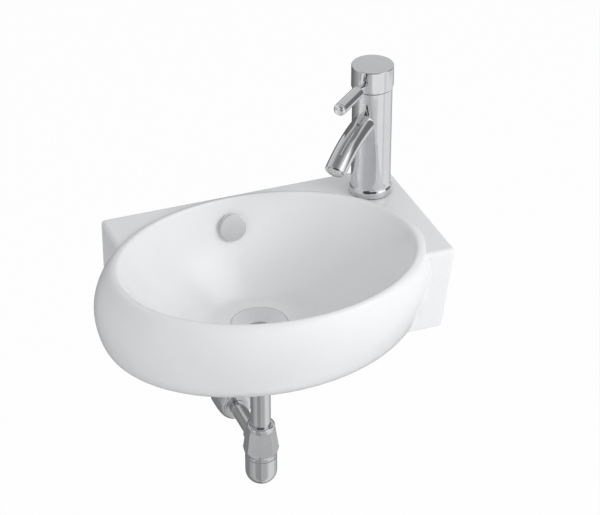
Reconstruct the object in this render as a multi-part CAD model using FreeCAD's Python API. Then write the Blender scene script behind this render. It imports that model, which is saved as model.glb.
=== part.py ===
import math
import os

import FreeCAD
import Part

V = FreeCAD.Vector
os.makedirs("parts", exist_ok=True)

# Basin
rim_long = 340.0
rim_wide = 264.0
rim_above_deck = 4.5
rim_from_wall = 16.5
inner_depth = 108.5
floor_thick = 24.5
floor_setback = 30.0
bulge = 26.0
lip_wide = 3.4
floor_long = 96.0
ceramic = 10.0
deck_thick = 12.0
slab_deep = 205.0
slab_high = 106.0
slab_edge = 5.0
draft_end = 9.0
draft_front = 10.0
fixing_below_deck = 60.0
fixing_spacing = 180.0
fixing_from_end = 59.5
fixing_hole = 14.0
keel_wide = 44.0
duct_wide = 18.0
duct_deep = 10.0
channel_high = 8.0

# Poles of the outer flank and of the bowl's inside, as shares of depth, bulge and radius
flank_depth_shares = [0.0, 0.08, 0.22, 0.42, 0.62, 0.80, 0.93, 1.0, 1.0]
flank_outset_shares = [0.38, 0.62, 0.90, 1.00, 0.79, 0.50, -0.12, -1.73, -3.65]
bowl_depth_shares = [0.0, 0.05, 0.25, 0.50, 0.75, 0.93, 1.0]
bowl_radius_shares = [1.00, 0.985, 0.885, 0.75, 0.575, 0.42, 0.36]

# Overflow
overflow_depth = 32.0
overflow_hole = 24.0
cover_wide = 32.0
cover_thick = 3.6
cover_standoff = 3.5
cover_stem = 6.0
bush_long = 8.0
bush_wall = 1.6
spoke_wide = 2.4

# Waste
waste_wide = 66.0
waste_lip = 2.2
dish_deep = 8.0
throat = 31.0
tail_thread = 41.8
tail_clear = 1.6
seal_thin = 1.2
seal_thick = 3.5
back_nut_wall = 9.1
back_nut_high = 8.0
nut_gap = 3.6
slot_wide = 9.0
slot_high = 7.0
bar_thick = 2.6

# Tailpipe and trap
pipe_wide = 24.0
tube_wall = 1.2
collar_clear = 1.9
collar_thick = 2.0
union_wall = 6.1
union_high = 20.0
union_notch = 4.0
trap_top_drop = 252.0
trap_ring_wall = 5.0
trap_ring_high = 6.5
trap_neck_wall = 5.5
trap_flare = 4.0
trap_body_high = 38.0
trap_shoulder = 28.0
trap_bevel = 2.5
trap_bevel_high = 6.5
trap_wall = 2.0
cup_step = 2.4
cup_high = 38.0
cup_round = 17.5
cup_thread = 7.0
cup_seal_thick = 1.6
dip_below = 14.0
outlet_wide = 19.0
outlet_above_base = 0.5
outlet_boss_wall = 2.5
outlet_boss_long = 7.0
outlet_past_wall = 30.0
outlet_spigot_step = 0.3
rosette_wide = 44.0
rosette_deep = 36.0
rosette_edge = 3.0
rosette_wall = 1.4

# Tap
tap_from_right = 39.0
tap_from_wall = 48.0
lever_turn = 42.0
tap_hole = 35.0
foot_step = 2.0
foot_clear = 0.25
foot_rim = 4.5
foot_flare = 8.0
body_wide = 46.0
cap_gap = 1.5
cap_step = 1.3
cap_high = 26.5
cap_skirt = 3.5
cap_crown = 4.0
cap_edge = 1.0
lift_angle = 22.0
chamber_deep = 24.0
body_wall = 3.5
thread_step = 1.5
spout_below_chamber = 14.5
spout_reach = 95.0
spout_drop = 26.0
spout_bend = 36.0
spout_taper = 0.3
spout_tip_wall = 2.4
spout_bore = 17.0
aerator_long = 9.0
aerator_proud = 1.5
aerator_step = 1.5
aerator_wall = 1.2
mesh_hole = 2.2
stud_wide = 8.0
stud_long = 62.0
stud_in_body = 16.0
stud_offset = 9.5
inlet_wide = 9.2
inlet_long = 14.0
inlet_back = 8.0
inlet_side = 8.0
passage_wide = 7.0
horseshoe_wide = 44.0
horseshoe_gap = 28.0
horseshoe_back = 10.0
rubber_thick = 3.0
plate_thick = 2.5
fixing_nut_wide = 13.0
fixing_nut_high = 6.5

# Cartridge, from the chamber floor upwards
gasket_thick = 1.5
fixed_disc_thick = 3.0
moving_disc_thick = 8.0
moving_disc_wide = 22.0
housing_wall = 1.6
rotor_flange_thick = 3.0
rotor_hub_wide = 21.0
housing_roof = 2.2
retainer_high = 7.5
stem_wide = 7.0
stem_arm = 9.0
stem_ball = 6.0
stem_above_pivot = 24.0
pin_wide = 3.0
port_wide = 6.0
port_ring = 15.0
boss_wide = 16.0
boss_long = 17.0
grub_wide = 5.0
grub_long = 5.0
hex_socket = 2.5

# Lever
lever_height = 146.0
lever_above_body = 10.0
lever_reach = 88.5
neck_wide = 7.4
neck_long = 14.0
grip_wide = 14.6
lever_end_long = 4.5
grip_edge = 0.8

# Clearances and the overrun of every cut
slip = 0.3
running = 0.05
seat_gap = 0.1
overrun = 2.0

# Counts
trap_sides = 8
union_notches = 12
waste_slots = 4
bush_spokes = 3
mesh_holes = 6
quarters = 4
hex_sides = 6
nut_keys = 4
spout_steps = 6
halvings = 60

# Place of the mixing passage as a share of its width
mix_share = 0.8

deck_z = fixing_below_deck
rim_z = deck_z + rim_above_deck
rim_r = rim_long / 2
flatten = rim_wide / rim_long
lean = floor_setback / inner_depth
basin_high = inner_depth + floor_thick
bowl_from_wall = rim_wide / 2 + rim_from_wall
waste_y = floor_setback - bowl_from_wall
floor_z = rim_z - inner_depth
under_z = rim_z - basin_high
slab_left = -fixing_spacing / 2 - fixing_from_end
waste_hole = tail_thread + 2 * tail_clear
back_nut_wide = tail_thread + 2 * back_nut_wall
union_wide = tail_thread + 2 * union_wall
pipe_collar = tail_thread - 2 * collar_clear
tail_below = back_nut_high + nut_gap + union_high - 3 * tube_wall - collar_thick
trap_ring_wide = pipe_wide + 2 * trap_ring_wall
trap_neck_wide = pipe_wide + 2 * trap_neck_wall
trap_wide = trap_neck_wide + 2 * trap_flare
cup_wide = trap_wide - 2 * cup_step
outlet_boss_wide = outlet_wide + 2 * outlet_boss_wall
outlet_spigot_wide = outlet_wide - 2 * outlet_spigot_step
outlet_drop = trap_body_high - outlet_boss_wide / 2 - outlet_above_base
foot_wide = body_wide + 2 * foot_step
cap_wide = body_wide + 2 * cap_step
nut_thread_wide = body_wide - 2 * body_wall
chamber_wide = nut_thread_wide - 2 * thread_step
aerator_wide = spout_bore + 2 * aerator_step
spout_tip_wide = aerator_wide + 2 * spout_tip_wall
spout_root_wide = spout_tip_wide + 2 * spout_taper
body_top = lever_height - lever_above_body
chamber_floor = body_top - chamber_deep
spout_rise = chamber_floor - spout_below_chamber
waste_r = waste_wide / 2
throat_r = throat / 2
waste_hole_r = waste_hole / 2
dish_low = waste_lip / 4 - dish_deep
dish_slope = -dish_low / (waste_r - throat_r - 2 * waste_lip)


def export(name, shape):
    shape.exportStep("parts/" + name + ".step")


def box(x0, x1, y0, y1, z0, z1):
    return Part.makeBox(x1 - x0, y1 - y0, z1 - z0, V(x0, y0, z0))


def rod(radius, start, end):
    return Part.makeCylinder(radius, (end - start).Length, start, end - start)


def post(radius, z0, z1, x=0, y=0):
    return rod(radius, V(x, y, z0), V(x, y, z1))


def ring(outer, inner, z0, z1):
    return post(outer, z0, z1).cut(post(inner, z0 - overrun, z1 + overrun))


def turned(edges):
    face = Part.Face(Part.Wire(Part.__sortEdges__(edges)))
    return face.revolve(V(0, 0, 0), V(0, 0, 1), 360)


def quartered(edges):
    face = Part.Face(Part.Wire(Part.__sortEdges__(edges)))
    step = 360 / quarters
    pieces = []
    for i in range(quarters):
        copy = face.copy()
        copy.rotate(V(0, 0, 0), V(0, 0, 1), step * i)
        pieces.append(copy.revolve(V(0, 0, 0), V(0, 0, 1), step))
    return pieces[0].fuse(pieces[1:])


def turned_points(points):
    vectors = [V(r, 0, z) for r, z in points]
    face = Part.Face(Part.makePolygon(vectors + vectors[:1]))
    return face.revolve(V(0, 0, 0), V(0, 0, 1), 360)


def prism(sides, across_flats, z0, z1):
    corner = across_flats / 2 / math.cos(math.pi / sides)
    points = []
    for i in range(sides + 1):
        angle = (2 * i + 1) * math.pi / sides
        points.append(V(corner * math.cos(angle), corner * math.sin(angle), z0))
    return Part.Face(Part.makePolygon(points)).extrude(V(0, 0, z1 - z0))


def line(a, b):
    return Part.makeLine(a, b)


def spread(shape, count):
    copies = []
    for i in range(count):
        copy = shape.copy()
        copy.rotate(V(0, 0, 0), V(0, 0, 1), 360 * i / count)
        copies.append(copy)
    return copies


# Bowl surfaces, turned round and then flattened and leaned back in one step
def oval(shape):
    m = FreeCAD.Matrix()
    m.A22 = flatten
    m.A23 = -lean
    m.A24 = -bowl_from_wall
    m.A34 = rim_z
    return shape.transformGeometry(m)


def spline(points):
    curve = Part.BSplineCurve()
    curve.buildFromPoles(points, False, min(3, len(points) - 1))
    return curve


def flank_curve(inset):
    depth = basin_high - 2 * inset
    points = [V(rim_r + lip_wide - inset, 0, -inset)]
    for d, o in zip(flank_depth_shares, flank_outset_shares):
        points.append(V(rim_r + bulge * o - inset, 0, -inset - depth * d))
    return spline(points)


def bowl_curve(outset):
    depth = inner_depth + outset
    points = [V(rim_r + lip_wide + outset, 0, 0)]
    for d, s in zip(bowl_depth_shares, bowl_radius_shares):
        points.append(V(rim_r * s + outset, 0, -depth * d))
    points.append(V(floor_long / 2 + outset, 0, -depth))
    return spline(points)


def outer_form(inset):
    curve = flank_curve(inset)
    top = curve.StartPoint
    low = curve.EndPoint
    edges = [
        line(V(0, 0, top.z), top),
        curve.toShape(),
        line(low, V(0, 0, low.z)),
        line(V(0, 0, low.z), V(0, 0, top.z)),
    ]
    return oval(quartered(edges))


def inner_form(outset, above):
    curve = bowl_curve(outset)
    top = curve.StartPoint
    low = curve.EndPoint
    edges = [
        line(V(0, 0, above), V(top.x, 0, above)),
        line(V(top.x, 0, above), top),
        curve.toShape(),
        line(low, V(0, 0, low.z)),
        line(V(0, 0, low.z), V(0, 0, above)),
    ]
    return oval(quartered(edges))


# Slab with its right end and its front drafted inwards towards the bottom
def slab_block(inset, z0, z1):
    low = (deck_z - z0) / slab_high
    high = (deck_z - z1) / slab_high
    left = slab_left + inset
    right = slab_right - inset
    front = inset - slab_deep
    right_low = right - draft_end * low
    right_high = right - draft_end * high
    front_low = front + draft_front * low
    front_high = front + draft_front * high
    end = [V(left, 0, z0), V(right_low, 0, z0), V(right_high, 0, z1), V(left, 0, z1)]
    side = [V(0, -inset, z0), V(0, front_low, z0), V(0, front_high, z1), V(0, -inset, z1)]
    along = Part.Face(Part.makePolygon(end + end[:1])).extrude(V(0, -2 * slab_deep, 0))
    across = Part.Face(Part.makePolygon(side + side[:1])).extrude(V(2 * slab_long, 0, 0))
    across.translate(V(-slab_long, 0, 0))
    return along.common(across)


def at_depth(curve, depth):
    low = curve.FirstParameter
    high = curve.LastParameter
    for step in range(halvings):
        middle = (low + high) / 2
        if -curve.value(middle).z < depth:
            low = middle
        else:
            high = middle
    return low


# The tap stands beside the bowl's flank with its foot just clear of it, and the slab ends past the tap
def beside_bowl():
    flank = flank_curve(0)
    depth = rim_above_deck - seal_thin
    reach = flank.value(at_depth(flank, depth)).x
    middle_y = depth * lean - bowl_from_wall
    edge = Part.Ellipse(V(0, middle_y, 0), reach, reach * flatten).toShape()
    across = (-tap_from_wall - middle_y) / (reach * flatten)
    low = reach * math.sqrt(1 - across * across)
    high = reach + foot_wide
    for step in range(halvings):
        middle = (low + high) / 2
        gap = edge.distToShape(Part.Vertex(middle, -tap_from_wall, 0))[0] - foot_wide / 2
        if gap < foot_clear:
            low = middle
        else:
            high = middle
    return low


tap_x = beside_bowl()
slab_right = tap_x + tap_from_right
slab_long = slab_right - slab_left


# Point of the bowl's back wall at the overflow, and the slope there
def back_wall(depth):
    curve = bowl_curve(0)
    low = at_depth(curve, depth)
    point = curve.value(low)
    run = curve.tangent(low)[0]
    y = point.x * flatten + depth * lean - bowl_from_wall
    along = V(0, run.x * flatten - run.z * lean, run.z)
    normal = V(0, along.z, -along.y)
    normal.normalize()
    return V(0, y, rim_z - depth), normal


overflow_point, overflow_axis = back_wall(overflow_depth)
duct_front = -(ceramic / 2 + duct_deep)


# Height of the dished waste flange's underside above the bowl floor, at a radius
def flange_under(r):
    return -waste_lip - dish_slope * (waste_r - r)


seat_low = flange_under(waste_hole_r) - seal_thin
duct_mid = (floor_z + seat_low + under_z) / 2


# Waste, built with the bowl floor at height zero
def at_waste(shape):
    shape.Placement = FreeCAD.Placement(V(0, waste_y, floor_z), FreeCAD.Rotation())
    return shape


def make_basin():
    wall_side = box(-rim_long, rim_long, -2 * rim_long, 0, -2 * rim_long, rim_long)
    slab = slab_block(0, deck_z - slab_high, deck_z)
    rounded = []
    for edge in slab.Edges:
        heights = [v.Z for v in edge.Vertexes]
        if max(heights) > deck_z - slab_high / 2:
            rounded.append(edge)
    slab = slab.makeFillet(slab_edge, rounded)
    body = slab.fuse(outer_form(0).common(wall_side))

    inset_side = box(-rim_long, rim_long, -2 * rim_long, -ceramic, -2 * rim_long, rim_long)
    hollow = slab_block(ceramic, under_z - overrun, deck_z - deck_thick)
    jacket_low = box(-rim_long, rim_long, -2 * rim_long, rim_long, -2 * rim_long, deck_z - deck_thick)
    jacket = outer_form(ceramic).common(inset_side).common(jacket_low)
    hollow = hollow.fuse(jacket).cut(inner_form(ceramic, overrun))
    keel = box(-keel_wide / 2, keel_wide / 2, waste_y, overrun, under_z - 2 * overrun, deck_z)
    boss = post(waste_hole_r + ceramic + seal_thick, under_z - 2 * overrun, rim_z, 0, waste_y)
    hollow = hollow.cut(keel.fuse(boss))
    body = body.cut(hollow)
    body = body.cut(inner_form(0, overrun))

    cuts = [post(tap_hole / 2, deck_z - deck_thick - overrun, deck_z + overrun, tap_x, -tap_from_wall)]
    cuts.append(post(waste_hole_r, under_z - overrun, floor_z + overrun, 0, waste_y))
    seat = turned_points([
        (0, overrun),
        (waste_r + slip, overrun),
        (waste_r + slip, flange_under(waste_r) - seal_thin),
        (waste_hole_r, seat_low),
        (0, seat_low),
    ])
    cuts.append(at_waste(seat))
    for side in (-1, 1):
        x = side * fixing_spacing / 2
        cuts.append(rod(fixing_hole / 2, V(x, overrun, 0), V(x, -ceramic - overrun, 0)))
    deep = (duct_front + duct_deep / 2 - overflow_point.y) / -overflow_axis.y
    hole_end = overflow_point - overflow_axis * deep
    cuts.append(rod(overflow_hole / 2, overflow_point + overflow_axis * overflow_hole, hole_end))
    duct_top = overflow_point.z - overflow_hole / 4
    half = duct_wide / 2
    duct_low = duct_mid - channel_high / 2
    cuts.append(box(-half, half, duct_front, duct_front + duct_deep, duct_low, duct_top))
    cuts.append(box(-half, half, waste_y, duct_front + duct_deep, duct_low, duct_low + channel_high))
    return body.cut(cuts)


# Overflow cover and its bush, made along the hole's axis and then leaned with the wall
def at_overflow(shape):
    shape.Placement = FreeCAD.Placement(overflow_point, FreeCAD.Rotation(V(0, 0, 1), overflow_axis))
    return shape


def make_overflow():
    disc = post(cover_wide / 2, cover_standoff, cover_standoff + cover_thick)
    disc = disc.makeFillet(cover_thick / 4, disc.Edges)
    stem = post(cover_stem / 2, -bush_long, cover_standoff + cover_thick / 2)
    outer = overflow_hole / 2 - seat_gap
    hub = cover_stem / 2 + bush_wall
    bush = ring(outer, outer - bush_wall, -bush_long, 0)
    spokes = [ring(hub, cover_stem / 2, -bush_long, -bush_long / 4)]
    half = spoke_wide / 2
    web = box(hub - bush_wall / 2, outer - bush_wall / 2, -half, half, -bush_long, -bush_long / 2)
    bush = bush.fuse(spokes + spread(web, bush_spokes))
    export("overflow_cover", at_overflow(disc.fuse(stem).removeSplitter()))
    export("overflow_bush", at_overflow(bush.removeSplitter()))


boss_low = under_z - floor_z
tail_low = boss_low - tail_below
tail_r = tail_thread / 2
washer_low = boss_low - seal_thick
back_nut_low = washer_low - back_nut_high
collar_top = tail_low - seal_thick


def make_waste():
    points = [
        (waste_r, -waste_lip),
        (waste_r, -waste_lip / 4),
        (waste_r - waste_lip / 2, 0),
        (waste_r - waste_lip, 0),
        (throat_r + waste_lip, dish_low),
        (throat_r, dish_low - waste_lip / 2),
        (throat_r, tail_low),
        (tail_r, tail_low),
        (tail_r, flange_under(tail_r)),
    ]
    body = turned_points(points)
    slot = box(0, tail_r + overrun, -slot_wide / 2, slot_wide / 2, 0, slot_high)
    slot.translate(V(0, 0, duct_mid - floor_z - slot_high / 2))
    body = body.cut(spread(slot, waste_slots))
    bar_top = -dish_deep - 2 * waste_lip
    reach = throat_r + waste_lip
    across = box(-reach, reach, -bar_thick / 2, bar_thick / 2, bar_top - bar_thick, bar_top)
    across.rotate(V(0, 0, 0), V(0, 0, 1), 180 / waste_slots)
    along = across.copy()
    along.rotate(V(0, 0, 0), V(0, 0, 1), 90)
    body = body.fuse([across, along]).removeSplitter()
    export("waste_body", at_waste(body))

    edge = waste_r - seal_thin
    top_seal = turned_points([
        (edge, flange_under(edge) - seat_gap),
        (waste_hole_r, flange_under(waste_hole_r) - seat_gap),
        (waste_hole_r, seat_low + seat_gap),
        (edge, flange_under(edge) - seal_thin + seat_gap),
    ])
    export("waste_top_seal", at_waste(top_seal))
    washer = ring(back_nut_wide / 2, tail_r + seat_gap, washer_low, boss_low)
    rim_edges = [e for e in washer.Edges if e.BoundBox.XMax > back_nut_wide / 2 - slip]
    rim_edges = [e for e in rim_edges if e.BoundBox.ZLength < slip]
    washer = washer.makeChamfer(seal_thick / 4, rim_edges)
    export("waste_washer", at_waste(washer))
    nut = prism(hex_sides, back_nut_wide - 2 * seal_thick, back_nut_low, washer_low - back_nut_high / 4)
    nut = nut.fuse(post(back_nut_wide / 2 - seal_thin, washer_low - back_nut_high / 4, washer_low))
    nut = nut.cut(post(tail_r + seat_gap, back_nut_low - overrun, washer_low + overrun))
    export("waste_back_nut", at_waste(nut))

    pipe_r = pipe_wide / 2
    union_low = collar_top - collar_thick - tube_wall * 3
    union_top = union_low + union_high
    points = [
        (pipe_r + slip, union_low),
        (union_wide / 2 - tube_wall * 2, union_low),
        (union_wide / 2, union_low + tube_wall * 2),
        (union_wide / 2, union_top - tube_wall),
        (union_wide / 2 - tube_wall, union_top),
        (tail_r + seat_gap, union_top),
        (tail_r + seat_gap, collar_top - collar_thick),
        (pipe_r + slip, collar_top - collar_thick),
    ]
    union = turned_points(points)
    low = union_low + union_notch
    notch = post(union_notch / 2, low, union_top + overrun, union_wide / 2 + union_notch / 5)
    union = union.cut(spread(notch, union_notches))
    export("union_nut", at_waste(union))
    export("union_seal", at_waste(ring(pipe_collar / 2, throat_r, collar_top, tail_low)))


trap_top = deck_z - trap_top_drop - floor_z
trap_low = trap_top - trap_body_high
outlet_z = trap_top - outlet_drop
pipe_low = trap_low - dip_below


def make_trap():
    pipe_r = pipe_wide / 2
    bore = pipe_r - tube_wall
    collar_low = collar_top - collar_thick
    points = [
        (bore, collar_top),
        (pipe_collar / 2, collar_top),
        (pipe_collar / 2, collar_low),
        (pipe_r, collar_low),
        (pipe_r, pipe_low),
        (bore, pipe_low),
    ]
    export("tailpipe", at_waste(turned_points(points)))

    # Ring nut with a rounded crown
    ring_r = trap_ring_wide / 2
    ring_top = trap_top + trap_ring_high
    crown = trap_ring_high / 2
    nut = ring(ring_r, pipe_r + slip, trap_top, ring_top)
    top_edges = [e for e in nut.Edges if e.BoundBox.ZMin > trap_top + crown]
    nut = nut.makeFillet(crown - slip, [e for e in top_edges if e.BoundBox.XMax > ring_r - slip])
    skirt_r = pipe_r + trap_wall - seat_gap
    nut = nut.fuse(ring(skirt_r, pipe_r + slip, trap_top - trap_ring_high, trap_top))
    export("trap_ring_nut", at_waste(nut.removeSplitter()))
    seal_low = trap_top - 2 * trap_ring_high
    seal = turned_points([
        (pipe_r + seat_gap, trap_top - trap_ring_high),
        (skirt_r, trap_top - trap_ring_high),
        (skirt_r - tube_wall, seal_low),
        (pipe_r + seat_gap, seal_low),
    ])
    export("trap_inlet_seal", at_waste(seal))

    # Eight-sided body, widening downwards, with a turned bevel at its lower edge
    neck = prism(trap_sides, trap_neck_wide * math.cos(math.pi / trap_sides), trap_top, trap_top + overrun)
    wide_z = trap_top - trap_shoulder
    wide = prism(trap_sides, trap_wide * math.cos(math.pi / trap_sides), wide_z, wide_z + overrun)
    low = prism(trap_sides, trap_wide * math.cos(math.pi / trap_sides), trap_low, trap_low + overrun)

    def base_wire(shape):
        faces = sorted(shape.Faces, key=lambda f: f.CenterOfMass.z)
        return faces[0].OuterWire

    body = Part.makeLoft([base_wire(wide), base_wire(neck)], True, True)
    body = body.fuse(Part.makeLoft([base_wire(low), base_wire(wide)], True, True))
    bevel_r = trap_wide / 2 - trap_bevel
    cone = turned_points([
        (0, trap_low),
        (bevel_r, trap_low),
        (bevel_r, wide_z - trap_bevel_high),
        (trap_wide / 2, wide_z),
        (trap_wide / 2, trap_top),
        (0, trap_top),
    ])
    body = body.common(cone)
    boss_end = trap_wide / 2 + outlet_boss_long
    body = body.fuse(rod(outlet_boss_wide / 2, V(0, 0, outlet_z), V(0, boss_end, outlet_z)))
    inner_r = cup_wide / 2 - trap_wall
    thread_top = trap_low + cup_thread + seat_gap
    body = body.cut(post(pipe_r + trap_wall, trap_top - 2 * trap_ring_high, trap_top + overrun))
    body = body.cut(post(pipe_r + slip, trap_low, trap_top))
    body = body.cut(post(inner_r, trap_low - overrun, trap_top - 2 * trap_ring_high - trap_wall))
    body = body.cut(post(inner_r + seat_gap, trap_low - overrun, thread_top))
    socket_start = inner_r + tube_wall
    socket_r = outlet_wide / 2 + seat_gap
    body = body.cut(rod(socket_r, V(0, socket_start, outlet_z), V(0, boss_end + overrun, outlet_z)))
    body = body.cut(rod(outlet_wide / 2 - tube_wall, V(0, 0, outlet_z), V(0, boss_end, outlet_z)))
    groove_r = outlet_wide / 2 + tube_wall
    groove_y = boss_end - outlet_boss_long / 2
    groove = rod(groove_r, V(0, groove_y - tube_wall, outlet_z), V(0, groove_y + tube_wall, outlet_z))
    body = body.cut(groove)
    export("trap_body", at_waste(body.removeSplitter()))

    seal = groove.cut(rod(outlet_wide / 2 + running, V(0, 0, outlet_z), V(0, boss_end, outlet_z)))
    export("outlet_seal", at_waste(seal))

    # Cup with a threaded spigot, straight side and a rounded foot
    cup_top = trap_low - cup_seal_thick
    cup_low = cup_top - cup_high
    cup_r = cup_wide / 2
    cup = post(cup_r, cup_low, cup_top)
    cup = cup.makeFillet(cup_round, [e for e in cup.Edges if e.BoundBox.ZMax < cup_low + slip])
    cup = cup.fuse(post(inner_r, cup_top, trap_low + cup_thread))
    cup = cup.cut(post(inner_r - tube_wall, cup_low + cup_round, trap_low + cup_thread + overrun))
    bowl = post(inner_r - tube_wall, cup_low + trap_wall, cup_low + cup_round + overrun)
    foot = [e for e in bowl.Edges if e.BoundBox.ZMax < cup_low + cup_round]
    bowl = bowl.makeFillet(cup_round - 2 * trap_wall, foot)
    export("trap_cup", at_waste(cup.cut(bowl).removeSplitter()))
    export("trap_cup_seal", at_waste(ring(cup_r - trap_wall / 2, inner_r + seat_gap, cup_top, trap_low)))

    # Outlet tube through the wall, and the rosette that covers the hole
    wall_y = -waste_y
    tube_end = wall_y + outlet_past_wall
    tube = rod(outlet_wide / 2, V(0, socket_start, outlet_z), V(0, wall_y, outlet_z))
    tube = tube.fuse(rod(outlet_spigot_wide / 2, V(0, wall_y, outlet_z), V(0, tube_end, outlet_z)))
    tube_bore = outlet_wide / 2 - tube_wall
    tube = tube.cut(rod(tube_bore, V(0, 0, outlet_z), V(0, tube_end + overrun, outlet_z)))
    export("outlet_tube", at_waste(tube))
    r = rosette_wide / 2
    collar_r = outlet_wide / 2 + rosette_wall + slip
    front = rosette_deep
    hole_r = outlet_wide / 2 + slip
    dome = spline([V(r, 0, rosette_edge), V(r, 0, front), V((3 * r + collar_r) / 4, 0, front),
                   V(collar_r, 0, front)])
    back = front - rosette_wall
    inner_r = r - rosette_wall
    inner = spline([V(inner_r, 0, rosette_edge), V(inner_r, 0, back),
                    V((3 * inner_r + hole_r) / 4, 0, back), V(hole_r, 0, back)])
    rosette = turned([
        dome.toShape(),
        line(V(collar_r, 0, front), V(hole_r, 0, front)),
        line(V(hole_r, 0, front), V(hole_r, 0, front - rosette_wall)),
        inner.toShape(),
        line(V(r - rosette_wall, 0, rosette_edge), V(r - rosette_wall, 0, 0)),
        line(V(r - rosette_wall, 0, 0), V(r, 0, 0)),
        line(V(r, 0, 0), V(r, 0, rosette_edge)),
    ])
    turn = FreeCAD.Rotation(V(0, 0, 1), V(0, -1, 0))
    rosette.Placement = FreeCAD.Placement(V(0, 0, outlet_z + floor_z), turn)
    export("wall_rosette", rosette)


# Tap, built with its foot on height zero and the lever along x
def at_tap(shape):
    turn = FreeCAD.Rotation(V(0, 0, 1), 180 + lever_turn)
    shape.Placement = FreeCAD.Placement(V(tap_x, -tap_from_wall, deck_z), turn)
    return shape


def place_again(shape):
    base = FreeCAD.Placement(shape.Placement)
    at_tap(shape)
    shape.Placement = shape.Placement.multiply(base)
    return shape


body_r = body_wide / 2
cap_low = body_top + cap_gap
cap_top = cap_low + cap_high
gasket_top = chamber_floor + gasket_thick
fixed_top = gasket_top + fixed_disc_thick
moving_low = fixed_top + seat_gap
moving_top = moving_low + moving_disc_thick
rotor_low = moving_top + slip
rotor_flange_top = rotor_low + rotor_flange_thick
housing_top = rotor_flange_top + slip + housing_roof
retainer_top = housing_top + retainer_high
pivot_z = moving_top - stem_ball / 2 + stem_arm
rotor_top = retainer_top - cap_gap
chamber_r = chamber_wide / 2
hub_r = rotor_hub_wide / 2


def spout_arc():
    slope = math.atan2(spout_drop, spout_reach)
    half = math.radians(spout_bend / 2)
    chord = math.hypot(spout_drop, spout_reach)
    radius = chord / 2 / math.sin(half)
    start = V(0, 0, spout_rise)
    lead = half - slope
    centre = start + V(radius * math.sin(lead), 0, -radius * math.cos(lead))
    return centre, radius, lead, 2 * half


def spout_circle(share, r):
    centre, radius, lead, sweep = spout_arc()
    angle = lead - sweep * share
    away = V(-math.sin(angle), 0, math.cos(angle))
    along = V(math.cos(angle), 0, math.sin(angle))
    return Part.Wire(Part.makeCircle(r, centre + away * radius, along)), centre + away * radius, along


def make_tap():
    foot_r = foot_wide / 2
    rim_top = seal_thin + foot_rim
    curve = spline([V(foot_r, 0, rim_top), V(foot_r, 0, rim_top + foot_flare / 2),
                    V(body_r, 0, rim_top + foot_flare / 3), V(body_r, 0, rim_top + foot_flare)])
    low = seal_thin
    body = turned([
        line(V(0, 0, low), V(foot_r, 0, low)),
        line(V(foot_r, 0, low), curve.StartPoint),
        curve.toShape(),
        line(curve.EndPoint, V(body_r, 0, body_top)),
        line(V(body_r, 0, body_top), V(0, 0, body_top)),
        line(V(0, 0, body_top), V(0, 0, low)),
    ])
    cuts = [post(chamber_r, chamber_floor, body_top + overrun)]
    cuts.append(post(nut_thread_wide / 2, housing_top, body_top + overrun))
    mix_low = spout_rise - passage_wide / 2
    mix_x = passage_wide * mix_share
    cuts.append(post(passage_wide / 2, mix_low, chamber_floor + overrun, mix_x))
    centre, radius, lead, sweep = spout_arc()
    cuts.append(rod(spout_bore / 2, V(mix_x, 0, spout_rise), V(body_r + overrun, 0, spout_rise)))
    cuts.append(post(stud_wide / 2 + running, low - overrun, low + stud_in_body, stud_offset))
    for side in (-1, 1):
        cuts.append(post(inlet_wide / 2, low - overrun, low + inlet_long, -inlet_back, side * inlet_side))
        cuts.append(post(passage_wide / 2, low, chamber_floor + overrun, -inlet_back, side * inlet_side))
    body = body.cut(cuts)
    export("tap_body", at_tap(body))

    seal = ring(foot_r - seal_thin, tap_hole / 2, 0, seal_thin)
    export("tap_base_seal", at_tap(seal))

    # Spout tapering along its bend, saddled on the body
    wires = []
    bores = []
    for i in range(spout_steps + 1):
        share = i / spout_steps
        r = (spout_root_wide + (spout_tip_wide - spout_root_wide) * share) / 2
        wires.append(spout_circle(share, r)[0])
        bores.append(spout_circle(share, spout_bore / 2)[0])
    spout = Part.makeLoft(wires, True, False).cut(post(body_r, 0, cap_top))
    spout = spout.cut(Part.makeLoft(bores, True, False))
    tip = spout_circle(1, spout_tip_wide / 2)[1]
    along = spout_circle(1, spout_tip_wide / 2)[2]
    seat = tip - along * (aerator_long - aerator_proud)
    spout = spout.cut(rod(aerator_wide / 2, seat, tip + along * overrun))
    export("tap_spout", at_tap(spout))
    shell_r = aerator_wide / 2 - seat_gap
    end = tip + along * aerator_proud
    shell_bore = rod(shell_r - aerator_wall, seat - along * overrun, end + along * overrun)
    shell = rod(shell_r, seat, end).cut(shell_bore)
    export("aerator_shell", at_tap(shell))
    insert_low = seat + along * aerator_wall
    insert_end = end - along * aerator_wall
    insert = post(shell_r - aerator_wall - seat_gap, 0, (insert_end - insert_low).Length)
    holes = [post(mesh_hole / 2, -overrun, aerator_long, 0, 0)]
    holes += spread(post(mesh_hole / 2, -overrun, aerator_long, shell_r / 2, 0), mesh_holes)
    insert = insert.cut(holes)
    insert.Placement = FreeCAD.Placement(insert_low, FreeCAD.Rotation(V(0, 0, 1), along))
    export("aerator_insert", place_again(insert))


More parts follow.
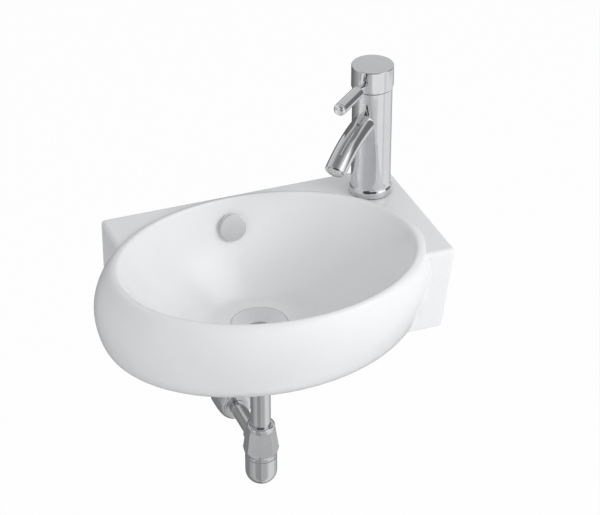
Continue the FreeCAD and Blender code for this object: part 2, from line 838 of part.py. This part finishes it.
def make_cartridge():
    ports = [post(port_wide / 2, chamber_floor - overrun, fixed_top + overrun, port_ring / 2)]
    for side in (-1, 1):
        port_y = side * inlet_side
        ports.append(post(port_wide / 2, chamber_floor - overrun, fixed_top + overrun, -inlet_back, port_y))
    gasket = post(chamber_r - seat_gap, chamber_floor, gasket_top).cut(ports)
    export("cartridge_gasket", at_tap(gasket))
    housing_r = chamber_r - seat_gap
    disc_r = housing_r - housing_wall - seat_gap
    export("fixed_disc", at_tap(post(disc_r, gasket_top, fixed_top).cut(ports)))
    housing = turned_points([
        (disc_r + seat_gap, gasket_top),
        (housing_r, gasket_top),
        (housing_r, housing_top),
        (hub_r + slip, housing_top),
        (hub_r + slip, housing_top - housing_roof),
        (disc_r + seat_gap, housing_top - housing_roof),
    ])
    export("cartridge_housing", at_tap(housing))

    swing = math.sin(math.radians(lift_angle))
    ball_z = pivot_z - stem_arm
    well_x = stem_ball / 2 + seat_gap
    well_y = stem_ball / 2 + slip
    well = box(-well_x, well_x, -well_y, well_y, moving_top - stem_ball - slip, moving_top + overrun)
    disc = post(moving_disc_wide / 2, moving_low, moving_top).cut(well)
    groove = rod(port_wide / 2, V(-moving_disc_wide, 0, moving_low), V(-stem_ball, 0, moving_low))
    export("moving_disc", at_tap(disc.cut(groove)))

    flange_r = disc_r - slip
    rotor = post(flange_r, rotor_low, rotor_flange_top).fuse(post(hub_r, rotor_low, rotor_top))
    rise = rotor_top - pivot_z
    fall = pivot_z - rotor_low
    back = stem_wide / 2 + rise * swing + 2 * slip
    fore = stem_wide / 2 + fall * swing + 2 * slip
    slot_y = stem_wide / 2 + slip
    slot = box(-back, fore, -slot_y, slot_y, rotor_low - overrun, rotor_top + overrun)
    rotor = rotor.cut(slot)
    pin_hole = rod(pin_wide / 2, V(0, -rim_r, pivot_z), V(0, rim_r, pivot_z))
    export("cartridge_rotor", at_tap(rotor.cut(pin_hole).removeSplitter()))
    half = hub_r - slip
    export("pivot_pin", at_tap(rod(pin_wide / 2, V(0, -half, pivot_z), V(0, half, pivot_z))))

    half = stem_wide / 2
    stem = box(-half, half, -half, half, pivot_z - stem_wide / 2, pivot_z + stem_above_pivot)
    stem = stem.fuse(post(stem_ball / 3, ball_z, pivot_z))
    stem = stem.fuse(Part.makeSphere(stem_ball / 2, V(0, 0, ball_z)))
    stem = stem.cut(rod(pin_wide / 2 + running, V(0, -stem_wide, pivot_z), V(0, stem_wide, pivot_z)))
    export("lever_stem", at_tap(stem))

    outer = nut_thread_wide / 2 - seat_gap
    nut = ring(outer, hub_r + slip, housing_top, retainer_top)
    top_edges = [e for e in nut.Edges if e.BoundBox.ZMin > retainer_top - slip]
    nut = nut.makeChamfer(cap_gap, [e for e in top_edges if e.BoundBox.XMax > outer - slip])
    half = stem_wide / 4
    key = box(hub_r, outer + overrun, -half, half, retainer_top - cap_gap, retainer_top + overrun)
    export("cartridge_nut", at_tap(nut.cut(spread(key, nut_keys))))


def make_handle():
    cap_r = cap_wide / 2
    cap = post(cap_r, cap_low, cap_top)
    cap = cap.makeFillet(cap_edge, [e for e in cap.Edges if e.BoundBox.ZMin > cap_top - slip])
    roof = cap_top - cap_crown
    cap = cap.cut(post(cap_r - cap_skirt, cap_low - overrun, roof))
    boss = post(boss_wide / 2, roof - boss_long, roof + cap_crown / 2)
    half = stem_wide / 2 + running
    socket_top = pivot_z + stem_above_pivot + running
    boss = boss.cut(box(-half, half, -half, half, roof - boss_long - overrun, socket_top))
    cap = cap.fuse(boss).removeSplitter()

    # Relief behind, so that the skirt clears the body when the lever is lifted
    angle = math.radians(lift_angle)
    above = body_top + cap_gap / 2 - pivot_z
    deep = cap_r * 2
    start = above / math.cos(angle)
    far = start + deep * math.tan(angle)
    relief = [V(0, 0, start), V(-deep, 0, far), V(-deep, 0, -deep), V(0, 0, -deep)]
    for p in relief:
        p.z += pivot_z
        p.y = -deep
    wedge = Part.Face(Part.makePolygon(relief + relief[:1])).extrude(V(0, 2 * deep, 0))
    wedge = wedge.common(ring(cap_r + overrun, boss_wide / 2 + overrun, cap_low - overrun, cap_top))
    cap = cap.cut(wedge)
    neck_start = cap_r - cap_skirt * 2
    cap = cap.cut(rod(neck_wide / 2, V(neck_start, 0, lever_height), V(cap_r * 2, 0, lever_height)))
    grub_r = grub_wide / 2
    grub_z = roof - boss_long + grub_r + cap_edge / 2
    cap = cap.cut(rod(grub_r, V(-cap_r * 2, 0, grub_z), V(0, 0, grub_z)))
    export("handle_cap", at_tap(cap))
    tip = -stem_wide / 2
    grub = rod(grub_r, V(tip - grub_long, 0, grub_z), V(tip, 0, grub_z))
    key = prism(hex_sides, hex_socket, 0, grub_long / 2 + overrun)
    key.rotate(V(0, 0, 0), V(0, 1, 0), 90)
    key.translate(V(tip - grub_long - overrun, 0, grub_z))
    export("grub_screw", at_tap(grub.cut(key)))

    # Lever neck and grip turned as one, and the rounded end piece
    start = cap_r - cap_skirt
    neck_end = cap_r + neck_long
    grip_end = lever_reach - lever_end_long
    neck_r = neck_wide / 2
    grip_r = grip_wide / 2
    lever = turned_points([
        (0, start), (neck_r, start), (neck_r, neck_end), (grip_r - grip_edge, neck_end),
        (grip_r, neck_end + grip_edge), (grip_r, grip_end), (0, grip_end),
    ])
    end_r = grip_r - grip_edge / 2
    shoulder = grip_end + lever_end_long / 3
    dome = spline([V(end_r, 0, shoulder), V(end_r, 0, lever_reach - lever_end_long / 4),
                   V(end_r / 2, 0, lever_reach), V(0, 0, lever_reach)])
    end = turned([
        line(V(0, 0, grip_end), V(end_r, 0, grip_end)),
        line(V(end_r, 0, grip_end), dome.StartPoint),
        dome.toShape(),
        line(V(0, 0, lever_reach), V(0, 0, grip_end)),
    ])
    for name, shape in (("lever_rod", lever), ("lever_end", end)):
        shape.rotate(V(0, 0, 0), V(0, 1, 0), 90)
        shape.translate(V(0, 0, lever_height))
        export(name, place_again(shape))


def make_fixing():
    under = -deck_thick
    rubber_low = under - rubber_thick
    plate_low = rubber_low - plate_thick
    nut_low = plate_low - fixing_nut_high
    top = seal_thin + stud_in_body
    stud_r = stud_wide / 2
    export("tap_stud", at_tap(post(stud_r, top - stud_long, top, stud_offset)))

    def horseshoe(z0, z1):
        plate = post(horseshoe_wide / 2, z0, z1)
        half = horseshoe_gap / 2
        gap = post(half, z0 - overrun, z1 + overrun, -horseshoe_back)
        gap = gap.fuse(box(-horseshoe_wide, -horseshoe_back, -half, half, z0 - overrun, z1 + overrun))
        return plate.cut([gap, post(stud_r + seat_gap, z0 - overrun, z1 + overrun, stud_offset)])

    export("fixing_rubber", at_tap(horseshoe(rubber_low, under)))
    export("fixing_plate", at_tap(horseshoe(plate_low, rubber_low)))
    nut = prism(hex_sides, fixing_nut_wide, nut_low, plate_low)
    nut = nut.cut(post(stud_r + running, nut_low - overrun, plate_low + overrun))
    nut.translate(V(stud_offset, 0, 0))
    export("fixing_nut", place_again(nut))


export("basin", make_basin())
make_overflow()
make_waste()
make_trap()
make_tap()
make_cartridge()
make_handle()
make_fixing()
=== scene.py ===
import math
from typing import NamedTuple

import bmesh
import bpy
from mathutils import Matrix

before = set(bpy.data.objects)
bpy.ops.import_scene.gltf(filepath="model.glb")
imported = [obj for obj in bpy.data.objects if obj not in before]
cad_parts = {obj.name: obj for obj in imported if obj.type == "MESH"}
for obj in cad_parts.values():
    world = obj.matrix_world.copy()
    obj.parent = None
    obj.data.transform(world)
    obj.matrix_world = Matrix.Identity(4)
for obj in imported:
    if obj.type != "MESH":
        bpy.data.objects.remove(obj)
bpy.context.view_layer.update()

# Camera fitted to the photograph, for an image of 600 by 515
IMAGE_WIDE = 600
FOCAL_PIXELS = 2300
SENSOR = 36.0
CAMERA_PLACE = (-0.7484, -2.1876, 1.4117)
CAMERA_PITCH = 58.131
CAMERA_YAW = -21.09

# Studio in metres, with light levels where 1 is white
CENTRE = (0.0, -0.13, 0.0)
WHITE = (1.0, 1.0, 1.0, 1.0)
FLOOR_Z = -0.80
FLOOR_SIZE = 30.0
FLOOR_COLOR = (0.9, 0.9, 0.9, 1.0)
FLOOR_GLOW = 0.97
AMBIENT = 0.57
AMBIENT_COLOR = (0.950, 0.968, 1.0, 1.0)
TENT_RADIUS = 0.72
TENT_TOP = 0.22
TENT_SEGMENTS = 64
TENT_RINGS = 32

# Levels in reflections, by height of the sky, as the height's sine
SKY_LEVELS = [
    (0.0, 0.90), (0.12, 0.78), (0.38, 0.66), (0.60, 0.65), (0.78, 0.62), (0.88, 0.36), (1.0, 0.24),
]

# Levels by bearing round the tent, from 0 at -X over 0.25 at -Y, and round its lower part
TENT_STRIPS = [
    (0.00, 0.44), (0.03, 0.50), (0.055, 0.85), (0.075, 0.80), (0.10, 0.30), (0.135, 0.45),
    (0.16, 0.58), (0.24, 0.66), (0.30, 0.74), (0.335, 0.93), (0.40, 0.95), (0.425, 0.74),
    (0.45, 0.90), (0.52, 0.88), (0.55, 0.82), (0.58, 0.60), (0.64, 0.25), (0.72, 0.12),
    (0.80, 0.22), (0.88, 0.36), (0.95, 0.52), (1.00, 0.44),
]
LOW_STRIPS = [
    (0.00, 0.46), (0.05, 0.60), (0.10, 0.36), (0.15, 0.38), (0.18, 0.32), (0.20, 0.55),
    (0.24, 0.52), (0.30, 0.54), (0.36, 0.86), (0.45, 0.86), (0.53, 0.60), (0.62, 0.35),
    (0.72, 0.15), (0.81, 0.25), (0.90, 0.27), (0.94, 0.30), (0.965, 0.50), (1.00, 0.46),
]
LOW_START = -0.28
LOW_END = -0.42


class Lamp(NamedTuple):
    """A square area lamp aimed at the object, with its side in metres and its power in watts."""

    name: str
    place: tuple
    size: float
    power: float


class Card(NamedTuple):
    """A flat card that only reflections see. Soft is the share of its side over which an edge fades."""

    name: str
    place: tuple
    wide: float
    high: float
    level: float
    soft: float = 0.0
    target: tuple = CENTRE


LAMPS = [
    Lamp("key", (1.52, -1.66, 1.24), size=1.3, power=23.0),
    Lamp("fill", (-1.8, -1.2, 0.35), size=1.4, power=3.0),
    Lamp("front", (0.1, -2.3, 0.45), size=1.0, power=4.5),
]

# Dark flags and pale cards for the stripes and highlights of the tap
CARDS = [
    Card("dark_flag", (-0.45, -1.15, 0.70), wide=1.9, high=0.7, level=0.08),
    Card("white_card", (1.54, -1.59, 1.03), wide=2.0, high=1.5, level=1.5, soft=0.2),
    Card("side_flag", (0.58, -0.10, 0.195), wide=0.40, high=0.50, level=0.20, soft=0.18),
    Card("high_flag", (0.475, -0.09, 0.66), wide=0.22, high=0.22, level=0.25),
    Card("rear_flag", (0.11, 0.36, 0.335), wide=0.125, high=0.35, level=0.18),
    Card("near_flag", (-0.11, -0.38, 0.122), wide=0.20, high=0.165, level=0.04),
    Card("cap_card", (0.1075, -0.597, -0.041), wide=0.37, high=0.094, level=0.95,
         target=(0.165, -0.05, -0.041)),
]

# The nodes of each finish
CHROME = ["tap_body", "tap_spout", "aerator_shell", "handle_cap", "lever_rod"]
PIPEWORK = [
    "union_nut", "tailpipe", "trap_ring_nut", "trap_body", "trap_cup", "outlet_tube", "wall_rosette",
]
SATIN = ["waste_body"]
PALE = ["lever_end", "overflow_cover"]
BRASS = ["waste_back_nut", "cartridge_nut"]
RUBBER = [
    "waste_top_seal", "waste_washer", "union_seal", "trap_inlet_seal", "outlet_seal", "tap_base_seal",
    "fixing_rubber", "cartridge_gasket",
]
WHITE_PLASTIC = ["overflow_bush", "aerator_insert", "cartridge_housing"]
GREY_PLASTIC = ["cartridge_rotor"]
PALE_SEAL = ["trap_cup_seal"]
DISCS = ["fixed_disc", "moving_disc"]
STEEL = ["fixing_plate", "fixing_nut", "lever_stem", "pivot_pin", "grub_screw"]
THREADED = ["tap_stud"]

# Finishes, with lengths in metres, where a wave texture of scale 1 repeats every WAVE_LENGTH
GLAZE_END = -0.0015
BARE_START = -0.0005
THREAD_PITCH = 0.00125
WAVE_LENGTH = math.pi / 10
BEVEL_SAMPLES = 6
SMEAR_TINT = 0.95


class Tree:
    """A node tree with short calls for the nodes and links that come up often."""

    def __init__(self, tree):
        self.tree = tree

    def node(self, kind, **values):
        made = self.tree.nodes.new(kind)
        for key, value in values.items():
            setattr(made, key, value)
        return made

    def link(self, source, target):
        self.tree.links.new(source, target)

    def put(self, value, socket):
        """A number or colour goes on the socket itself, anything else is linked to it."""
        if isinstance(value, tuple):
            socket.default_value = value + (1.0,)
        elif isinstance(value, float):
            socket.default_value = value
        else:
            self.link(value, socket)

    def parts(self, vector):
        made = self.node("ShaderNodeSeparateXYZ")
        self.link(vector, made.inputs["Vector"])
        return made.outputs

    def larger(self, first, second):
        made = self.node("ShaderNodeMath", operation="MAXIMUM")
        self.link(first, made.inputs[0])
        self.link(second, made.inputs[1])
        return made.outputs[0]

    def span(self, value, low=0.0, high=1.0, start=0.3, end=0.7):
        """Low to high as the value goes from start to end. A noise stays mostly between 0.3 and 0.7."""
        made = self.node("ShaderNodeMapRange")
        made.inputs["From Min"].default_value = start
        made.inputs["From Max"].default_value = end
        made.inputs["To Min"].default_value = low
        made.inputs["To Max"].default_value = high
        self.link(value, made.inputs["Value"])
        return made.outputs["Result"]

    def mix(self, factor, first, second, kind="RGBA"):
        made = self.node("ShaderNodeMix", data_type=kind)
        self.link(factor, made.inputs["Factor"])
        self.put(first, made.inputs["A"])
        self.put(second, made.inputs["B"])
        return made.outputs["Result"]

    def mix_shaders(self, factor, first, second):
        made = self.node("ShaderNodeMixShader")
        self.put(factor, made.inputs["Fac"])
        self.link(first, made.inputs[1])
        self.link(second, made.inputs[2])
        return made.outputs[0]

    def grey(self, value, stops, interpolation="LINEAR"):
        """A grey that follows the value through pairs of position and level."""
        made = self.node("ShaderNodeValToRGB")
        made.color_ramp.interpolation = interpolation
        elements = made.color_ramp.elements
        while len(elements) < len(stops):
            elements.new(1.0)
        for element, (position, level) in zip(elements, stops):
            element.position = position
            element.color = (level, level, level, 1.0)
        self.link(value, made.inputs["Fac"])
        return made.outputs["Color"]

    def output(self, surface, kind="ShaderNodeOutputMaterial"):
        self.link(surface, self.node(kind).inputs["Surface"])


class Finish(Tree):
    """A principled material whose colour, roughness and bump come from textures in object metres."""

    def __init__(self, name):
        self.material = bpy.data.materials.new(name)
        self.material.use_nodes = True
        super().__init__(self.material.node_tree)
        self.surface = self.tree.nodes["Principled BSDF"]
        self.place = self.node("ShaderNodeTexCoord").outputs["Object"]

    def set(self, **values):
        for key, value in values.items():
            self.surface.inputs[key].default_value = value

    def noise(self, scale, detail=3.0, rough=0.5, stretch=None):
        made = self.node("ShaderNodeTexNoise")
        made.inputs["Scale"].default_value = scale
        made.inputs["Detail"].default_value = detail
        made.inputs["Roughness"].default_value = rough
        place = self.place
        if stretch:
            mapping = self.node("ShaderNodeMapping")
            mapping.inputs["Scale"].default_value = stretch
            self.link(place, mapping.inputs["Vector"])
            place = mapping.outputs["Vector"]
        self.link(place, made.inputs["Vector"])
        return made.outputs["Fac"]

    def bands(self, scale, direction):
        made = self.node("ShaderNodeTexWave", wave_type="BANDS", bands_direction=direction)
        made.inputs["Scale"].default_value = scale
        self.link(self.place, made.inputs["Vector"])
        return made.outputs["Fac"]

    def color(self, value):
        self.link(value, self.surface.inputs["Base Color"])

    def roughness(self, value):
        self.link(value, self.surface.inputs["Roughness"])

    def bump(self, value, strength, distance, edge=0.0):
        """Relief from the value, and edges that catch the light as if rounded to that radius."""
        made = self.node("ShaderNodeBump")
        made.inputs["Strength"].default_value = strength
        made.inputs["Distance"].default_value = distance
        self.link(value, made.inputs["Height"])
        if edge:
            bevel = self.node("ShaderNodeBevel", samples=BEVEL_SAMPLES)
            bevel.inputs["Radius"].default_value = edge
            self.link(bevel.outputs["Normal"], made.inputs["Normal"])
        self.link(made.outputs["Normal"], self.surface.inputs["Normal"])


def glazed_ceramic():
    s = Finish("white_glaze")
    tone = s.span(s.noise(scale=5.0))
    glaze = s.mix(tone, (0.918, 0.915, 0.915), (0.942, 0.938, 0.936))
    grain = s.noise(scale=900.0, detail=4.0)
    biscuit = s.mix(s.span(grain), (0.74, 0.70, 0.63), (0.83, 0.79, 0.72))
    # The flat back that stands on the wall is left unglazed
    bare = s.span(s.parts(s.place)["Y"], start=GLAZE_END, end=BARE_START)
    s.color(s.mix(bare, glaze, biscuit))
    gloss = s.span(s.noise(scale=14.0, detail=5.0), low=0.15, high=0.22)
    s.roughness(s.mix(bare, gloss, 0.75, kind="FLOAT"))
    s.set(IOR=1.52)
    orange_peel = s.noise(scale=55.0, detail=2.0)
    relief = s.mix(bare, orange_peel, grain, kind="FLOAT")
    s.bump(relief, strength=0.06, distance=0.0008, edge=0.0012)
    return s.material


def chrome(name, color, low, high, metallic=1.0):
    s = Finish(name)
    smear = s.noise(scale=26.0, detail=5.0, rough=0.6)
    tint = tuple(c * SMEAR_TINT for c in color)
    s.color(s.mix(s.span(smear), tint, color))
    fine = s.noise(scale=160.0, detail=4.0, rough=0.6)
    s.roughness(s.span(s.mix(s.span(smear), smear, fine, kind="FLOAT"), low, high))
    s.set(Metallic=metallic)
    s.bump(s.noise(scale=700.0, detail=2.0), strength=0.02, distance=0.0002, edge=0.0004)
    return s.material


def turned_brass():
    s = Finish("turned_brass")
    stain = s.span(s.noise(scale=70.0, detail=5.0, rough=0.6))
    s.color(s.mix(stain, (0.60, 0.42, 0.19), (0.76, 0.58, 0.30)))
    s.roughness(s.span(stain, low=0.24, high=0.38, start=0.0, end=1.0))
    s.set(Metallic=1.0)
    s.bump(s.bands(scale=900.0, direction="Z"), strength=0.12, distance=0.0002, edge=0.0003)
    return s.material


def machined_steel(name, pitch=0.0):
    s = Finish(name)
    grain = s.noise(scale=60.0, detail=4.0, rough=0.6, stretch=(1.0, 1.0, 24.0))
    s.color(s.mix(s.span(grain), (0.48, 0.49, 0.50), (0.62, 0.63, 0.64)))
    s.roughness(s.span(grain, low=0.24, high=0.38))
    s.set(Metallic=1.0)
    if pitch:
        s.bump(s.bands(scale=WAVE_LENGTH / pitch, direction="Z"), strength=0.9, distance=0.0006)
    else:
        s.bump(grain, strength=0.10, distance=0.0002, edge=0.0003)
    return s.material


def black_rubber():
    s = Finish("black_rubber")
    bloom = s.span(s.noise(scale=120.0, detail=5.0, rough=0.65))
    s.color(s.mix(bloom, (0.020, 0.020, 0.022), (0.050, 0.050, 0.052)))
    s.roughness(s.span(bloom, low=0.55, high=0.75, start=0.0, end=1.0))
    s.bump(s.noise(scale=1500.0, detail=2.0), strength=0.15, distance=0.0002, edge=0.0003)
    return s.material


def moulded_plastic(name, dark, light):
    s = Finish(name)
    flow = s.span(s.noise(scale=90.0, detail=4.0))
    s.color(s.mix(flow, dark, light))
    s.roughness(s.span(flow, low=0.38, high=0.50, start=0.0, end=1.0))
    s.bump(s.noise(scale=1800.0, detail=2.0), strength=0.10, distance=0.0001, edge=0.0003)
    return s.material


def lapped_ceramic():
    s = Finish("lapped_ceramic")
    grain = s.span(s.noise(scale=2200.0, detail=3.0))
    s.color(s.mix(grain, (0.80, 0.77, 0.70), (0.88, 0.86, 0.80)))
    s.roughness(s.span(grain, low=0.18, high=0.30, start=0.0, end=1.0))
    s.bump(grain, strength=0.05, distance=0.0001)
    return s.material


def give(material, nodes):
    for name in nodes:
        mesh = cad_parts[name].data
        mesh.materials.clear()
        mesh.materials.append(material)


give(glazed_ceramic(), ["basin"])
give(chrome("polished_chrome", (0.74, 0.75, 0.765), low=0.03, high=0.09), CHROME)
give(chrome("pipe_chrome", (0.70, 0.71, 0.73), low=0.11, high=0.20), PIPEWORK)
give(chrome("satin_chrome", (0.91, 0.91, 0.92), low=0.50, high=0.60, metallic=0.35), SATIN)
give(chrome("pale_chrome", (0.90, 0.905, 0.915), low=0.18, high=0.30), PALE)
give(turned_brass(), BRASS)
give(black_rubber(), RUBBER)
give(moulded_plastic("white_plastic", (0.72, 0.72, 0.70), (0.80, 0.80, 0.78)), WHITE_PLASTIC)
give(moulded_plastic("grey_plastic", (0.08, 0.085, 0.095), (0.12, 0.125, 0.135)), GREY_PLASTIC)
give(moulded_plastic("pale_seal", (0.50, 0.50, 0.51), (0.58, 0.58, 0.59)), PALE_SEAL)
give(lapped_ceramic(), DISCS)
give(machined_steel("machined_steel"), STEEL)
give(machined_steel("threaded_steel", THREAD_PITCH), THREADED)


def studio_material(thing):
    """A material for a piece of the studio, with its name and no nodes yet."""
    material = bpy.data.materials.new(thing.name)
    material.use_nodes = True
    material.node_tree.nodes.clear()
    thing.data.materials.append(material)
    return Tree(material.node_tree)


def make_floor():
    """A pale floor that is seen as white and still takes the object's soft shadow."""
    bpy.ops.mesh.primitive_plane_add(size=FLOOR_SIZE, location=(0, 0, FLOOR_Z))
    floor = bpy.context.object
    floor.name = "studio_floor"
    tree = studio_material(floor)
    diffuse = tree.node("ShaderNodeBsdfDiffuse")
    diffuse.inputs["Color"].default_value = FLOOR_COLOR
    lit = diffuse.outputs[0]
    glow = tree.node("ShaderNodeEmission").outputs[0]
    rays = tree.node("ShaderNodeLightPath").outputs
    mirrored = tree.larger(rays["Is Glossy Ray"], rays["Is Transmission Ray"])
    seen = tree.larger(rays["Is Camera Ray"], mirrored)
    upper = tree.mix_shaders(seen, lit, tree.mix_shaders(FLOOR_GLOW, lit, glow))
    # From below the floor is clear, so that the underside can be looked at
    below = tree.node("ShaderNodeNewGeometry").outputs["Backfacing"]
    clear = tree.node("ShaderNodeBsdfTransparent").outputs[0]
    tree.output(tree.mix_shaders(below, upper, clear))


def make_world():
    """White to the camera, a studio gradient in reflections and plain light on the object."""
    world = bpy.data.worlds.new("studio")
    bpy.context.scene.world = world
    world.use_nodes = True
    world.node_tree.nodes.clear()
    tree = Tree(world.node_tree)
    ambient = tree.node("ShaderNodeBackground")
    ambient.inputs["Color"].default_value = AMBIENT_COLOR
    ambient.inputs["Strength"].default_value = AMBIENT
    white = tree.node("ShaderNodeBackground")
    white.inputs["Color"].default_value = WHITE
    mirrored = tree.node("ShaderNodeBackground")
    height = tree.parts(tree.node("ShaderNodeTexCoord").outputs["Generated"])["Z"]
    tree.link(tree.grey(height, SKY_LEVELS), mirrored.inputs["Color"])
    rays = tree.node("ShaderNodeLightPath").outputs
    around = tree.mix_shaders(rays["Is Glossy Ray"], ambient.outputs[0], mirrored.outputs[0])
    through = tree.larger(rays["Is Camera Ray"], rays["Is Transmission Ray"])
    tree.output(tree.mix_shaders(through, around, white.outputs[0]), "ShaderNodeOutputWorld")


def aim(thing, target):
    """Turn the thing's own -Z axis to the target."""
    offset = [b - a for a, b in zip(thing.location, target)]
    flat = math.hypot(offset[0], offset[1])
    thing.rotation_euler = (math.atan2(flat, -offset[2]), 0, math.atan2(-offset[0], offset[1]))


def make_lamp(lamp):
    light = bpy.data.lights.new(lamp.name, "AREA")
    light.shape = "RECTANGLE"
    light.size = lamp.size
    light.size_y = lamp.size
    light.energy = lamp.power
    thing = bpy.data.objects.new(lamp.name, light)
    bpy.context.collection.objects.link(thing)
    thing.location = lamp.place
    thing.visible_glossy = False
    aim(thing, CENTRE)


def only_mirrored(thing):
    """Stage the thing so that it shows in reflections alone."""
    thing.visible_camera = False
    thing.visible_diffuse = False
    thing.visible_shadow = False
    thing.visible_transmission = False


def make_tent():
    """The lower part of a round light tent that only reflections see, with soft strips by bearing."""
    bpy.ops.mesh.primitive_uv_sphere_add(
        segments=TENT_SEGMENTS, ring_count=TENT_RINGS, radius=TENT_RADIUS, location=CENTRE)
    tent = bpy.context.object
    tent.name = "light_tent"
    mesh = bmesh.new()
    mesh.from_mesh(tent.data)
    upper = [v for v in mesh.verts if v.co.z > TENT_TOP]
    bmesh.ops.delete(mesh, geom=upper, context="VERTS")
    mesh.to_mesh(tent.data)
    mesh.free()
    tree = studio_material(tent)
    place = tree.node("ShaderNodeTexCoord").outputs["Object"]
    round_tent = tree.node("ShaderNodeTexGradient", gradient_type="RADIAL")
    tree.link(place, round_tent.inputs["Vector"])
    bearing = round_tent.outputs["Fac"]
    depth = tree.span(tree.parts(place)["Z"], start=LOW_START, end=LOW_END)
    high = tree.grey(bearing, TENT_STRIPS, "EASE")
    low = tree.grey(bearing, LOW_STRIPS, "EASE")
    glow = tree.node("ShaderNodeEmission")
    tree.link(tree.mix(depth, high, low), glow.inputs["Color"])
    tree.output(glow.outputs[0])
    only_mirrored(tent)


def make_card(card):
    """A glowing plane of side 1 before its scale, so its edges lie half from its middle."""
    half = 0.5
    bpy.ops.mesh.primitive_plane_add(size=2 * half, location=card.place)
    thing = bpy.context.object
    thing.name = card.name
    thing.scale = (card.wide, card.high, 1.0)
    aim(thing, card.target)
    tree = studio_material(thing)
    glow = tree.node("ShaderNodeEmission")
    glow.inputs["Strength"].default_value = card.level
    shown = glow.outputs[0]
    if card.soft:
        away = tree.node("ShaderNodeVectorMath", operation="ABSOLUTE")
        tree.link(tree.node("ShaderNodeTexCoord").outputs["Object"], away.inputs[0])
        sides = tree.parts(away.outputs["Vector"])
        fade = tree.span(tree.larger(sides["X"], sides["Y"]), start=half - card.soft, end=half)
        shown = tree.mix_shaders(fade, shown, tree.node("ShaderNodeBsdfTransparent").outputs[0])
    tree.output(shown)
    only_mirrored(thing)


def make_camera():
    camera = bpy.data.objects.new("camera", bpy.data.cameras.new("camera"))
    bpy.context.collection.objects.link(camera)
    camera.data.sensor_fit = "HORIZONTAL"
    camera.data.sensor_width = SENSOR
    camera.data.lens = FOCAL_PIXELS * SENSOR / IMAGE_WIDE
    camera.location = CAMERA_PLACE
    camera.rotation_euler = (math.radians(CAMERA_PITCH), 0, math.radians(CAMERA_YAW))
    bpy.context.scene.camera = camera


make_floor()
make_world()
make_tent()
for row in CARDS:
    make_card(row)
for row in LAMPS:
    make_lamp(row)
make_camera()
bpy.context.scene.view_settings.view_transform = "Standard"
